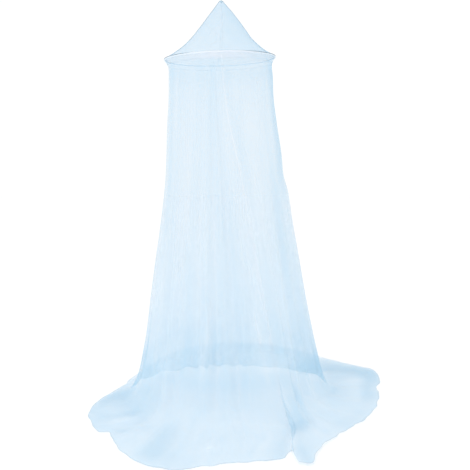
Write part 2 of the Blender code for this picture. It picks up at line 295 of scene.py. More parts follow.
netFabric = netMaterial("warp knitted polyester net", netLook)
tautFabric = netMaterial("polyester net pulled taut", tautLook)
casingFabric = netMaterial("polyester net folded double", casingLook)
hemThread = threadMaterial("rolled hem of net", "#9DB8C8", 0.12)
edgeThread = threadMaterial("rolled edge of the slit", "#A9C6DA", 0.03)
seamThread = threadMaterial("felled seam of net", "#8FAFC4", 0.5)
flatSeamThread = threadMaterial("felled seam pressed flat", "#9DBCD0", 0.06)
casingSeamThread = threadMaterial("puckered seam of the casing", "#7E9AAC", 0.75)
stitchThread = threadMaterial("spun polyester sewing thread", "#DCEBF5")
hoopPlastic = tubeMaterial("extruded polyethylene tube", "#F5F9FD", "#EFF5FA")
tapeWoven = tapeMaterial("woven polyester tape", "#DDEAF3")
print("materials made")


def newTree(name, **inputs):
    # a tree from geometry to geometry, with the kinds of its other inputs by their names
    tree = bpy.data.node_groups.new(name, "GeometryNodeTree")
    for inputName, kind in {"Geometry": "Geometry", **inputs}.items():
        tree.interface.new_socket(name=inputName, in_out="INPUT", socket_type="NodeSocket" + kind)
    tree.interface.new_socket(name="Geometry", in_out="OUTPUT", socket_type="NodeSocketGeometry")
    return tree, tree.nodes.new("NodeGroupInput").outputs, tree.nodes.new("NodeGroupOutput").inputs


def evenPath(tree, given, step):
    path = addNode(tree, "GeometryNodeMeshToCurve", mesh=given["Geometry"]).outputs[0]
    return addNode(
        tree, "GeometryNodeResampleCurve", {"mode": "LENGTH"}, curve=path, in3=given[step]
    ).outputs[0]


def realized(tree, given, result, shape):
    # one plain smooth mesh with its material, since the export drops instances
    shape = addNode(tree, "GeometryNodeSetShadeSmooth", geometry=shape).outputs[0]
    shape = addNode(tree, "GeometryNodeRealizeInstances", geometry=shape).outputs[0]
    shape = addNode(tree, "GeometryNodeSetMaterial", geometry=shape, material=given["Material"]).outputs[0]
    tree.links.new(shape, result["Geometry"])
    return tree


def sweepTree():
    # a round or flattened section carried along a path: hoop, seams, hems
    tree, given, result = newTree(
        "section along a path", Radius="Float", Flatten="Float", Sides="Int", Spacing="Float",
        Material="Material",
    )
    path = evenPath(tree, given, "Spacing")
    length = addNode(tree, "GeometryNodeSplineParameter").outputs["Length"]
    path = addNode(
        tree, "GeometryNodeStoreNamedAttribute", geometry=path, name="along", value=length
    ).outputs[0]
    ring = addNode(
        tree, "GeometryNodeCurvePrimitiveCircle", resolution=given["Sides"], radius=given["Radius"]
    ).outputs[0]
    share = addNode(tree, "GeometryNodeSplineParameter").outputs["Factor"]
    ring = addNode(
        tree, "GeometryNodeStoreNamedAttribute", geometry=ring, name="around", value=share
    ).outputs[0]
    size = addNode(tree, "ShaderNodeCombineXYZ", x=1.0, y=given["Flatten"], z=1.0).outputs[0]
    ring = addNode(tree, "GeometryNodeTransform", geometry=ring, scale=size).outputs[0]
    thick = addNode(tree, "GeometryNodeInputNamedAttribute", name="thickness").outputs[0]
    swept = addNode(
        tree, "GeometryNodeCurveToMesh", curve=path, profileCurve=ring, scale=thick, fillCaps=True
    ).outputs[0]
    return realized(tree, given, result, swept)


def stitchTree():
    # one small stitch after another along a path
    tree, given, result = newTree(
        "stitches along a path", Pitch="Float", Length="Float", Thread="Float", Seed="Int",
        Material="Material",
    )
    path = evenPath(tree, given, "Pitch")
    tangent = addNode(tree, "GeometryNodeInputTangent").outputs[0]
    turned = addNode(tree, "FunctionNodeAlignRotationToVector", {"axis": "Z"}, vector=tangent).outputs[0]
    stitch = addNode(tree, "GeometryNodeMeshIcoSphere", radius=0.5, subdivisions=1).outputs[0]
    size = addNode(
        tree, "ShaderNodeCombineXYZ", x=given["Thread"], y=given["Thread"], z=given["Length"]
    ).outputs[0]
    stitch = addNode(tree, "GeometryNodeTransform", geometry=stitch, scale=size).outputs[0]
    uneven = addNode(tree, "FunctionNodeRandomValue", in2=0.85, in3=1.1, seed=given["Seed"]).outputs["Value"]
    stitches = addNode(
        tree, "GeometryNodeInstanceOnPoints", points=path, instance=stitch, rotation=turned, scale=uneven
    ).outputs[0]
    return realized(tree, given, result, stitches)


sectionAlongPath, stitchesAlongPath = sweepTree(), stitchTree()


def alongPaths(name, tree, paths, closed=False, thickness=None, **values):
    # runs the tree on the paths, each a row of points, and keeps the result as a plain mesh
    points, edges = [], []
    for path in paths:
        first = len(points)
        points += [tuple(p) for p in path]
        edges += [(i, i + 1) for i in range(first, len(points) - 1)]
        if closed:
            edges.append((len(points) - 1, first))
    wire = bpy.data.meshes.new(name + "Path")
    wire.from_pydata(points, edges, [])
    thickness = np.ones(len(points)) if thickness is None else thickness
    attribute = wire.attributes.new("thickness", "FLOAT", "POINT")
    attribute.data.foreach_set("value", thickness.astype(np.float32))
    carrier = bpy.data.objects.new(name + "Path", wire)
    scene.collection.objects.link(carrier)
    modifier = carrier.modifiers.new(name, "NODES")
    modifier.node_group = tree
    for socket in tree.interface.items_tree:
        if socket.in_out == "INPUT" and socket.name in values:
            modifier[socket.identifier] = values[socket.name]
    bpy.context.view_layer.update()
    graph = bpy.context.evaluated_depsgraph_get()
    mesh = bpy.data.meshes.new_from_object(carrier.evaluated_get(graph), depsgraph=graph)
    bpy.data.objects.remove(carrier)
    mesh.name = name
    piece = bpy.data.objects.new(name, mesh)
    scene.collection.objects.link(piece)
    return piece


canopy = {
    "hoopRadius": 0.2963,  # to the tube's middle
    "hoopTube": 0.0035,
    "hoopHeight": 1.880,
    "hoopShift": -0.007,  # the hoop's axis hangs this far left of the loop
    "hoopSlope": 0.030,  # and its right side hangs higher: rise over run
    "crownHeight": 0.300,
    "seamBearing": 272.0,  # the cone's front seam, and the head of the slit
    "slitHead": 1.828,
}
casing = {
    "radius": 0.0046,  # round the hoop
    "drop": 0.034,  # hoop's middle to the mouth, along its slant
    "slant": 60.0,
    "mouth": 0.0015,  # half the width of the mouth
    "legTop": 0.15,  # where the legs end and the round begins, as a share of the drop
    "legRows": 7,
    "roundFrom": 25.0,  # the round's first bearing about the tube
    "roundRows": 17,
    "columns": 1200,
    "puckers": 170,
    "longPuckers": 83,
    "puckerDepth": 0.0005,
    "backThinning": 0.30,  # how much sparser the net is where the back lies over the hoop
    "seamOut": 0.0005,
    "stitchesUp": 0.005,  # from the mouth
}
turns = np.linspace(0, 360, 289)[:-1]
hoopPath = place(canopy["hoopRadius"], turns, canopy["hoopHeight"], canopy["hoopSlope"])
hoop = alongPaths(
    "hoopTube", sectionAlongPath, [hoopPath], closed=True,
    Radius=canopy["hoopTube"], Flatten=1.0, Sides=16, Spacing=0.008, Material=hoopPlastic,
)


def casingPoints():
    # a strip folded round the hoop: down the outer leg's slant, and back up the inner one, with small puckers
    slant = math.radians(casing["slant"])
    leg = np.linspace(1, casing["legTop"], casing["legRows"]) * casing["drop"]
    inside = np.full(casing["legRows"], casing["mouth"])
    arc = np.radians(np.linspace(casing["roundFrom"], 360 - casing["roundFrom"], casing["roundRows"]))
    fallen = np.concatenate([leg, casing["radius"] * np.cos(arc), leg[::-1]])
    outward = np.concatenate([inside, casing["radius"] * np.sin(arc), -inside])
    radius = canopy["hoopRadius"] - fallen * math.cos(slant) + outward * math.sin(slant)
    height = canopy["hoopHeight"] - fallen * math.sin(slant) - outward * math.cos(slant)
    turn = np.radians(casingBearings)
    crowding = 2 * np.sin(7 * turn)
    pucker = 0.6 * np.sin(casing["puckers"] * turn + crowding)
    pucker += 0.4 * np.sin(casing["longPuckers"] * turn + 1)
    fade = smooth(fallen / casing["drop"])[:, None] * np.where(outward > 0, 1, -1)[:, None]
    pucker = casing["puckerDepth"] * pucker[None] * fade
    return place(radius[:, None] + pucker, casingBearings[None], height[:, None], canopy["hoopSlope"])


casingBearings = np.linspace(0, 360, casing["columns"] + 1)
points = casingPoints()
casingFullness = [  # bearing, how full the casing is, and how much painted highlight, a paler colour, it has where it faces the light
    (0.0, 0.68, 0.0), (40.0, 0.66, 0.0), (150.0, 0.66, 0.0), (190.0, 0.68, 0.0), (225.0, 0.62, 0.1),
    (240.0, 0.70, 0.5), (262.0, 0.85, 1.0), (274.0, 0.85, 1.0), (287.0, 0.80, 0.8), (299.0, 0.70, 0.45),
    (312.0, 0.65, 0.1), (330.0, 0.65, 0.0), (360.0, 0.68, 0.0),
]
full, pale = readTable(casingFullness, casingBearings).T[:, None].repeat(len(points), axis=1)
roundHoop = np.abs(np.arange(len(points)) - len(points) // 2) < casing["roundRows"] // 2
behindHoop = smooth(np.sin(np.radians(casingBearings)) * 2)
full = full * (1 - casing["backThinning"] * roundHoop[:, None] * behindHoop[None])
# the band carries the painted highlight's share as an attribute
band = gridMesh("casingBand", points, clothPlaces(points), casingFabric, gather=full, pale=pale)
seamSize = [  # bearing, thickness of the seam over the hoop, where the net bunches at the sides
    (0.0, 1.00), (15.0, 0.50), (50.0, 0.08), (150.0, 0.08), (170.0, 0.50), (182.0, 1.00), (205.0, 0.90),
    (230.0, 0.55), (245.0, 0.12), (290.0, 0.12), (303.0, 0.55), (335.0, 0.90), (360.0, 1.00),
]
seamPath = place(
    canopy["hoopRadius"] + casing["seamOut"], turns, canopy["hoopHeight"] + casing["radius"],
    canopy["hoopSlope"],
)
casingSeam = alongPaths(
    "casingSeam", sectionAlongPath, [seamPath], closed=True, thickness=readTable(seamSize, turns)[:, 0],
    Radius=0.0030, Flatten=0.6, Sides=8, Spacing=0.006, Material=casingSeamThread,
)
stitchRow = {"Pitch": 0.004, "Length": 0.0030, "Thread": 0.0006, "Seed": 5, "Material": stitchThread}
legDown = casing["drop"] - casing["stitchesUp"]
slant = math.radians(casing["slant"])
stitchedAt = place(
    canopy["hoopRadius"] - legDown * math.cos(slant) + 2 * casing["mouth"], turns,
    canopy["hoopHeight"] - legDown * math.sin(slant), canopy["hoopSlope"],
)
casingStitches = alongPaths("casingStitches", stitchesAlongPath, [stitchedAt], closed=True, **stitchRow)
print("hoop and casing made")


cone = {
    "gores": 4,
    "columns": 64,
    "rows": 70,
    "sag": 0.05,  # how far a gore's middle lies inside its seams
    "draw": 0.006,  # how deep the draws near the tip are
    "draws": 5,  # on each gore
    "closeRows": 0.45,  # how much closer the rows lie at the foot and the tip
    "seam": 0.0024,  # half the width of a felled seam
    "seamOut": 0.002,
    "stitchesUp": 0.0016,
    "tipFullness": 0.15,  # what the gathers add where the gores narrow
}
coneProfile = [  # height above the hoop, radius at the seams, lean towards the loop
    (0.00598, 0.2950, 0.0000),
    (0.036, 0.246, 0.0015),
    (0.070, 0.201, 0.0050),
    (0.105, 0.164, 0.0065),
    (0.150, 0.128, 0.0100),
    (0.197, 0.091, 0.0115),
    (0.240, 0.057, 0.0110),
    (0.272, 0.030, 0.0090),
    (0.300, 0.006, 0.0070),
]


def conePoints(bearings, heights, sag):
    # sag is the share of the radius by which the net lies inside the seams' profile, a row for each height
    radius, lean = np.moveaxis(readTable(coneProfile, heights), -1, 0)
    slope = canopy["hoopSlope"] * (1 - heights / canopy["crownHeight"])
    radius = radius[:, None] * (1 - sag)
    height = canopy["hoopHeight"] + heights[:, None]
    return place(radius, bearings[None], height, slope[:, None], lean[:, None])


def coneHeights():
    # from the tip down to the foot
    share = np.linspace(0, 1, cone["rows"])
    low, high = coneProfile[0][0], coneProfile[-1][0]
    return high - (high - low) * ((1 - cone["closeRows"]) * share + cone["closeRows"] * smooth(share))


coneFullness = [  # bearing, how full the net is
    (0.0, 2.80), (35.0, 1.86), (92.0, 1.50), (150.0, 1.53), (178.0, 1.86), (205.0, 1.58), (250.0, 1.24),
    (271.0, 1.08), (274.0, 1.46), (300.0, 1.70), (335.0, 2.12), (360.0, 2.80),
]
gores = []
heights = coneHeights()
across = np.linspace(0, 1, cone["columns"] + 1)
upwards = heights / canopy["crownHeight"]
seamPaths = []
for number in range(cone["gores"]):
    first = canopy["seamBearing"] + 360 / cone["gores"] * number
    bearings = first + 360 / cone["gores"] * across
    sag = cone["sag"] * np.sin(math.pi * (1 - upwards))[:, None] * (1 - np.cos(2 * math.pi * across)) / 2
    draw = np.sin(2 * math.pi * (cone["draws"] * across + 0.3 * number)) * np.sin(math.pi * across)
    draw = cone["draw"] * draw[None] * upwards[:, None] ** 2
    points = conePoints(bearings, heights, sag + draw)
    full = readTable(coneFullness, bearings % 360)[None, :, 0]
    full = full * (1 + cone["tipFullness"] * upwards[:, None] ** 2)
    gores.append(gridMesh(f"coneGore{number + 1}", points, clothPlaces(points), tautFabric, gather=full))
    seamPaths.append(conePoints(np.array([first]), heights, -cone["seamOut"])[:, 0])

sideSeams, flatSeams = [
    alongPaths(
        name, sectionAlongPath, paths,
        Radius=cone["seam"], Flatten=0.6, Sides=8, Spacing=0.004, Material=thread,
    )
    for name, paths, thread in (
        ("sideSeams", seamPaths[1::2], seamThread), ("frontAndBackSeams", seamPaths[::2], flatSeamThread)
    )
]
besideSeams = [path + [0, 0, cone["stitchesUp"]] for path in seamPaths]
coneStitches = alongPaths("coneStitches", stitchesAlongPath, besideSeams, **stitchRow)
print("cone made")


curtain = {
    "flatWidth": 5.6,
    "columns": 840,
    "hangRows": 84,
    "floorRows": 33,
    "folds": 24,
    "plainEdge": 0.038,  # share of the width, at each free edge, that has no main folds
    "foldStart": 0.030,
    "footFolds": (1.2, 0.5),  # from this far down, over this length, the folds turn into those of the foot
    "flatValleys": 0.8,  # how deep the valleys between the ridges on the floor go, where 1 is all the way
    "lapStandOff": 0.012,
    "lapWidth": 0.045,
    "topInCasing": (0.007, -0.002),  # the first two rows' place above the casing's mouth
    "backRise": 0.15,  # how much of the foot's soft rise from the floor is left at the back
    "unevenness": 0.14,  # of the gathers, from place to place
    "onFloor": (1.80, 0.15),  # from this far down, over this length, the cloth comes to lie
    "clearance": 0.0008,  # from the floor
    "seed": 11,
}
fine = {
    "kinds": [(58, 0.55), (118, 0.8)],  # how many over the width, and how many folds' widths they wander
    "unevenWidths": 0.55,
    "strength": (0.65, 0.6),  # the middle of it, and how far it varies from place to place
    "weakest": 0.05,
    "strongest": 1.3,
    "edge": 0.02,  # share of the width, at each free edge, over which they fade
    "overhang": 0.05,  # how far a fold's sides lean over, as a share of its width
    "fullLean": 0.005,  # the depth of a fold that leans over fully
    "turnsOut": (1.85, 0.15),  # from this far down, over this length, they stand up and not in
    "settling": 0.004,  # how softly they come down on the floor
}
# each wave as its size, how many there are over the width, and its phase
bearingWaves = [(5.0, 3, 1.1), (2.5, 7, 0.0)]  # degrees
foldSizeWaves = [(0.28, 2, 0.7), (0.22, 9, 0.0)]
hemWaves = [(0.0030, 31, 1.0), (0.0022, 53, 2.0)]  # metres, where the hem lies on the floor
flow = [  # share of the width, bearing at the casing, share of the right edge's swing, and of the left's
    (0.000, 272.0, 1.00, 0.00),
    (0.100, 316.0, 0.28, 0.00),
    (0.220, 365.0, 0.00, 0.00),
    (0.750, 574.0, 0.00, 0.00),
    (0.865, 617.0, 0.00, 0.06),
    (1.000, 632.0, 0.00, 1.00),
]
hanging = [  # height, reach left, right, front, back, fold depth, slit swing, lap
    (1.828, 0.276, 0.277, 0.276, 0.276, 0.002, 0.0, 0.0),
    (1.780, 0.277, 0.284, 0.278, 0.276, 0.005, 1.0, -0.5),
    (1.690, 0.279, 0.288, 0.283, 0.279, 0.009, 2.8, -0.6),
    (1.530, 0.290, 0.310, 0.297, 0.284, 0.015, 7.0, -0.4),
    (1.370, 0.297, 0.337, 0.309, 0.289, 0.020, 13.2, -0.1),
    (1.250, 0.304, 0.351, 0.319, 0.294, 0.024, 16.8, 0.3),
    (1.170, 0.312, 0.375, 0.327, 0.298, 0.027, 18.8, 0.5),
    (0.980, 0.338, 0.408, 0.347, 0.308, 0.032, 23.2, 0.7),
    (0.780, 0.370, 0.447, 0.371, 0.320, 0.038, 27.2, 0.8),
    (0.580, 0.400, 0.484, 0.397, 0.332, 0.044, 30.7, 0.9),
    (0.390, 0.426, 0.524, 0.424, 0.338, 0.049, 33.2, 1.0),
    (0.220, 0.457, 0.564, 0.450, 0.341, 0.053, 35.2, 1.2),
    (0.100, 0.484, 0.595, 0.468, 0.333, 0.052, 36.2, 2.0),
]
foot = (0.505, 0.612, 0.484, 0.328)  # reach left, right, front, back, where the floor begins
pool = [  # share of the way to the hem, rise, fold depth, ridge height, slit swing, lap
    (0.05, 0.052, 0.040, 0.006, 36.0, 3.0),
    (0.14, 0.022, 0.026, 0.024, 35.0, 4.0),
    (0.28, 0.003, 0.010, 0.038, 33.0, 5.0),
    (0.45, 0.000, 0.000, 0.036, 29.0, 6.0),
    (0.75, 0.000, 0.000, 0.024, 22.2, 5.0),
    (1.00, 0.000, 0.000, 0.004, 20.8, 3.0),
]
hem = [  # bearing, reach
    (292.8, 0.893), (295.8, 0.936), (299.6, 0.884), (305.3, 0.836), (316.8, 0.814), (335.4, 0.868),
    (356.0, 0.918), (360.2, 0.922), (364.5, 0.966), (374.4, 1.002), (380.1, 0.938), (397.5, 0.828),
    (443.0, 0.795), (475.0, 0.690), (512.0, 0.572), (531.7, 0.578), (546.1, 0.654), (558.0, 0.748),
    (568.0, 0.785), (579.2, 0.798), (582.4, 0.766), (591.4, 0.816), (605.3, 0.885), (615.0, 0.896),
    (625.1, 0.840), (636.0, 0.815), (649.9, 0.830), (655.0, 0.786), (663.0, 0.770),
]
fineDepth = [  # distance down the cloth, depth of the fine folds, depth of the finest ones
    (0.00, 0.0000, 0.0000),
    (0.05, 0.0004, 0.0001),
    (0.25, 0.0009, 0.0002),
    (0.90, 0.0014, 0.0002),
    (1.60, 0.0018, 0.0003),
    (1.85, 0.0016, 0.0003),
    (2.00, 0.0012, 0.0003),
    (2.40, 0.0010, 0.0003),
]
fullness = [  # distance down the cloth, how full the front is, how full the back is, what the folds add
    (0.000, 0.20, 0.20, 1.0),
    (0.006, 0.50, 0.50, 0.9),
    (0.010, 1.50, 1.50, 0.9),
    (0.06, 1.55, 1.55, 0.9),
    (0.13, 1.28, 1.28, 0.8),
    (0.40, 1.15, 1.11, 0.5),
    (0.80, 1.22, 1.15, 0.4),
    (1.10, 1.46, 1.39, 0.3),
    (1.24, 1.60, 1.49, 0.3),
    (1.36, 1.77, 1.60, 0.3),
    (1.46, 1.98, 1.65, 0.2),
    (1.53, 2.12, 1.68, 0.2),
    (1.59, 2.46, 1.70, 0.2),
    (1.65, 3.20, 1.64, 0.2),
    (1.72, 2.14, 1.42, 0.2),
    (1.78, 1.80, 1.10, 0.2),
    (1.83, 1.60, 0.80, 0.2),
    (1.88, 1.46, 0.50, 0.2),
    (1.95, 1.36, 0.48, 0.2),
    (2.02, 1.36, 0.55, 0.2),
    (2.08, 1.50, 0.55, 0.2),
    (2.16, 1.44, 0.55, 0.2),
    (2.24, 0.88, 0.48, 0.2),
]
# share of the width, folds' depth kept, the same at the foot, fullness hung, on the floor, if it is the back
byWidth = [
    (0.000, 0.60, 0.60, 0.70, 0.90, 0.0),
    (0.008, 0.60, 0.60, 0.94, 1.02, 0.0),
    (0.030, 0.35, 0.35, 1.00, 1.10, 0.0),
    (0.100, 0.35, 0.35, 1.00, 1.05, 0.0),
    (0.170, 0.30, 0.40, 1.10, 1.20, 0.0),
    (0.190, 0.25, 0.40, 1.10, 1.15, 0.0),
    (0.220, 0.22, 0.40, 1.05, 1.32, 0.15),
    (0.270, 0.25, 0.50, 1.00, 1.65, 0.50),
    (0.300, 0.30, 0.70, 1.00, 1.20, 0.90),
    (0.440, 0.25, 0.85, 1.00, 1.00, 1.0),
    (0.560, 0.25, 0.70, 1.00, 1.00, 1.0),
    (0.620, 0.20, 0.50, 0.95, 1.45, 0.6),
    (0.680, 0.14, 0.25, 0.95, 1.55, 0.1),
    (0.740, 0.35, 0.35, 0.92, 1.32, 0.0),
    (0.790, 0.45, 0.45, 0.95, 1.08, 0.0),
    (0.860, 0.60, 0.60, 1.02, 1.05, 0.0),
    (0.970, 0.50, 0.50, 1.04, 1.00, 0.0),
    (0.992, 0.60, 0.60, 0.97, 0.85, 0.0),
    (1.000, 0.60, 0.60, 0.72, 0.55, 0.0),
]
# half width, height, extra fullness, then the places it runs through: distance down, share of the width
creases = [
    (0.014, -0.002, -0.3, [(1.12, 0.888), (1.35, 0.88), (1.6, 0.867), (1.72, 0.862)]),
    (0.012, -0.001, -0.32, [(1.2, 0.915), (1.35, 0.913), (1.6, 0.899), (1.72, 0.894)]),
    (0.01, 0, -0.25, [(1.45, 0.937), (1.52, 0.936), (1.66, 0.936), (1.74, 0.936)]),
    (0.012, -0.001, -0.32, [(1.22, 0.972), (1.37, 0.976), (1.6, 0.98), (1.74, 0.98)]),
    (0.016, 0.002, 0.3, [(1.36, 0.897), (1.46, 0.892), (1.56, 0.886), (1.62, 0.883)]),
    (0.012, 0.001, 0.35, [(1.3, 0.864), (1.38, 0.86), (1.46, 0.856), (1.54, 0.851)]),
    (0.02, 0.002, 0.5, [(1.38, 0.838), (1.46, 0.836), (1.56, 0.832), (1.66, 0.829)]),
    (0.016, -0.002, -0.25, [(1.55, 0.045), (1.63, 0.055), (1.83, 0.118), (1.9, 0.13)]),
    (0.03, 0, 0.28, [(0.12, 0.013), (0.35, 0.015), (0.75, 0.022), (0.9, 0.026)]),
    (0.04, 0, -0.3, [(-0.06, 0.054), (0.25, 0.054), (0.5, 0.058)]),
    (0.04, 0, 0.24, [(0.06, 0.11), (0.3, 0.108), (0.7, 0.105), (0.95, 0.105)]),
    (0.04, 0, -0.13, [(0.35, 0.812), (0.6, 0.812), (1.0, 0.82)]),
    (0.055, 0.003, 0.34, [(-0.1, 0.905), (0.25, 0.908), (0.8, 0.915), (1.05, 0.91)]),
    (0.009, -0.001, -0.2, [(0.38, 0.8), (0.46, 0.805), (0.97, 0.833), (1.1, 0.838)]),
    (0.045, 0.003, 0.7, [(-0.5, 0.718), (0.4, 0.73), (0.9, 0.736), (1.2, 0.74)]),
    (0.006, -0.001, -0.3, [(0.02, 0.757), (0.3, 0.758), (0.4, 0.759)]),
    (0.05, 0.002, 1.35, [(-0.3, 0.19), (0.2, 0.185), (0.5, 0.178), (0.8, 0.17)]),
    (0.06, 0.003, 0.85, [
        (-0.4, 0.165), (0.3, 0.16), (0.55, 0.145), (0.75, 0.125), (0.95, 0.118), (1.35, 0.13),
    ]),
    (0.01, 0.002, 0.3, [(0.25, 0.112), (0.57, 0.111), (0.85, 0.138), (1.23, 0.137), (1.4, 0.14)]),
    (0.08, 0, 0.45, [(1.45, 0.555), (1.62, 0.548), (1.8, 0.54), (2.0, 0.535)]),
    (0.06, 0, 0.35, [(1.5, 0.44), (1.66, 0.44), (1.8, 0.435), (2.0, 0.43)]),
    (0.06, 0.008, 0.35, [(2.2, 0.69), (1.98, 0.672), (1.86, 0.664), (1.7, 0.69)]),
    (0.08, 0.003, 0.45, [(1.52, 0.705), (1.7, 0.718), (1.8, 0.732), (1.9, 0.742)]),
    (0.008, 0.003, 0.6, [(2.15, 0.762), (2.05, 0.78), (1.94, 0.804), (1.9, 0.81)]),
    (0.052, 0.004, 0.66, [(1.8, 0.822), (1.92, 0.829), (2.03, 0.836), (2.18, 0.842)]),
    (0.026, 0, -0.11, [(2.09, 0.866), (2.05, 0.878), (2.02, 0.89), (1.99, 0.904)]),
    (0.018, 0, -0.13, [(1.96, 0.903), (1.9, 0.918), (1.85, 0.936), (1.8, 0.952)]),
    (0.018, 0, 0.18, [(2.01, 0.896), (1.95, 0.906), (1.88, 0.93), (1.83, 0.946)]),
    (0.018, 0, -0.12, [(1.98, 0.856), (1.92, 0.866), (1.83, 0.887), (1.77, 0.9)]),
    (0.018, 0, 0.18, [(1.9, 0.852), (1.84, 0.862), (1.78, 0.872), (1.72, 0.88)]),
    (0.022, 0, -0.11, [(2.15, 0.953), (2.07, 0.954), (1.99, 0.957), (1.9, 0.972)]),
    (0.016, 0, 0.18, [(2.15, 0.945), (2.07, 0.946), (2.0, 0.949), (1.92, 0.962)]),
    (0.022, 0, -0.22, [(2.14, 0.738), (2.02, 0.744), (1.92, 0.752), (1.84, 0.76)]),
    (0.02, 0, 0.18, [(2.14, 0.722), (2.02, 0.727), (1.9, 0.735), (1.82, 0.74)]),
    (0.02, 0, -0.18, [(2.12, 0.706), (2.02, 0.711), (1.92, 0.718), (1.84, 0.724)]),
    (0.12, 0, -0.32, [(1.05, 0.7), (1.35, 0.685), (1.6, 0.668), (1.88, 0.66)]),
    (0.07, 0, 0.6, [(1.7, 0.712), (1.8, 0.728), (1.88, 0.736), (1.97, 0.744)]),
    (0.02, 0, -0.14, [(2.14, 0.06), (2.07, 0.056), (2.0, 0.052), (1.94, 0.052)]),
    (0.018, 0, 0.18, [(2.16, 0.074), (2.08, 0.07), (2.0, 0.066), (1.93, 0.064)]),
    (0.02, 0, -0.22, [(2.12, 0.24), (2.04, 0.238), (1.96, 0.234), (1.88, 0.226)]),
    (0.095, 0.004, 1.45, [(1.66, 0.068), (1.78, 0.068), (1.86, 0.052), (1.93, 0.034), (2.04, 0.022)]),
    (0.06, 0, 0.4, [(1.98, 0.014), (2.08, 0.012), (2.22, 0.012), (2.4, 0.012)]),
    (0.05, 0, 0.25, [(1.74, 0.992), (1.9, 0.99), (2.05, 0.985), (2.22, 0.98)]),
    (0.055, 0.004, 0.6, [(1.86, 0.278), (1.98, 0.27), (2.07, 0.262), (2.2, 0.245)]),
    (0.07, 0.003, 0.2, [(1.6, 0.176), (1.72, 0.188), (1.84, 0.2), (2.0, 0.214)]),
    (0.05, 0.002, 0.5, [(2.09, 0.27), (2.12, 0.245), (2.1, 0.215), (2.1, 0.19), (2.1, 0.165)]),
    (0.09, 0, -0.3, [(1.46, 0.15), (1.58, 0.15), (1.66, 0.156), (1.74, 0.172)]),
    (0.08, 0, 0.6, [(2.16, 0.3), (2.08, 0.284), (2.03, 0.272), (1.96, 0.258)]),
    (0.12, 0, 0.3, [(1.8, 0.15), (1.86, 0.2), (1.94, 0.23), (2.04, 0.23)]),
    (0.12, 0, 0.36, [(1.66, 0.76), (1.76, 0.735), (1.84, 0.69), (1.9, 0.64)]),
    (0.05, 0, 0.45, [(1.73, 0.146), (1.79, 0.165), (1.86, 0.206), (1.92, 0.222)]),
    (0.07, 0, 0.22, [(1.26, 0.028), (1.4, 0.032), (1.5, 0.034), (1.6, 0.036)]),
    (0.06, 0, -0.34, [(1.78, 0.34), (1.82, 0.305), (1.85, 0.27), (1.86, 0.235)]),
    (0.06, 0, -0.26, [(1.84, 0.545), (1.86, 0.575), (1.86, 0.605), (1.84, 0.64)]),
]
widths = np.linspace(0, 1, curtain["columns"] + 1)
randoms = np.random.default_rng(curtain["seed"])


def reachBetween(left, right, front, back, bearing):
    across, along = np.cos(np.radians(bearing)), np.sin(np.radians(bearing))
    side = np.where(across > 0, right, left)
    end = np.where(along > 0, back, front)
    return 1 / np.hypot(across / side, along / end)


def wavesOverWidth(waves):
    return sum(size * np.sin(2 * math.pi * number * widths + phase) for size, number, phase in waves)


def awayFromEdges(over, plain=0.0):
    # 0 at both free edges and 1 between them
    return smooth((widths - plain) / over) * smooth((1 - widths - plain) / over)


def partOn(down, start):
    # 0 above the start's first value, 1 below it by its second
    return smooth((down - start[0]) / start[1])[:, None]


def bearingsOf(swing, lap, unevenness):
    casingBearing, rightSwing, leftSwing = readTable(flow, widths).T
    uneven = wavesOverWidth(bearingWaves) * unevenness * awayFromEdges(0.2)
    return casingBearing + uneven + rightSwing * swing + leftSwing * (swing + lap)


def stations():
    # the cloth's named rows: bearing, radius, height, fold depth, ridge, tilt and lap lift for every column
    rows = []
    ones = np.ones_like(widths)
    lapOut = curtain["lapStandOff"] * (1 - smooth((widths - curtain["lapWidth"]) / curtain["lapWidth"]))
    slant = math.radians(casing["slant"])
    for above in curtain["topInCasing"]:
        along = casing["drop"] - above
        radius = canopy["hoopRadius"] - along * math.cos(slant)
        height = canopy["hoopHeight"] - along * math.sin(slant)
        rows.append([bearingsOf(0, 0, 0), radius * ones, height * ones, 0 * ones, 0 * ones,
                     canopy["hoopSlope"] * ones, 0 * ones])
    for height, left, right, front, back, depth, swing, lap in hanging:
        fallen = 1 - height / canopy["slitHead"]
        bearing = bearingsOf(swing, lap, smooth(2 * fallen))
        radius = reachBetween(left, right, front, back, bearing) + lapOut * smooth(4 * fallen)
        rows.append([bearing, radius, height * ones, depth * ones, 0 * ones,
                     canopy["hoopSlope"] * (1 - fallen) * ones, 0 * ones])
    for spread, rise, depth, ridge, swing, lap in pool:
        bearing = bearingsOf(swing, lap, 1.0)
        start = reachBetween(*foot, bearing)
        end = readTable(hem, bearing)[..., 0] + wavesOverWidth(hemWaves) * spread**2
        radius = start + (end - start) * spread
        towardsFront = smooth((1 - np.sin(np.radians(bearing))) / 2)
        rise = rise * (curtain["backRise"] + (1 - curtain["backRise"]) * towardsFront)
        rows.append([bearing, radius, curtain["clearance"] + rise, depth * ones, ridge * ones,
                     0 * ones, lapOut])
    return np.array(rows)  # station, quantity, column


def unevenTurns(count, spread):
    # turns of a wave along the width, with folds of uneven size, evened out over a few columns
    sizes = randoms.uniform(1 - spread, 1 + spread, count)
    edges = np.concatenate([[0], np.cumsum(sizes)]) / sizes.sum()
    turns = np.interp(widths, edges, np.arange(count + 1))
    kernel = np.hanning(9) / np.hanning(9).sum()
    return np.convolve(np.pad(turns, len(kernel) // 2, "edge"), kernel, "valid")


def softField(down, downCells, acrossCells):
    # a smooth random field from -1 to 1 over the cloth
    grid = randoms.uniform(-1, 1, (downCells + 1, acrossCells + 1))
    byRow = readTable(np.c_[np.linspace(0, down[-1], downCells + 1), grid], down)
    return readTable(np.c_[np.linspace(0, 1, acrossCells + 1), byRow.T], widths).T


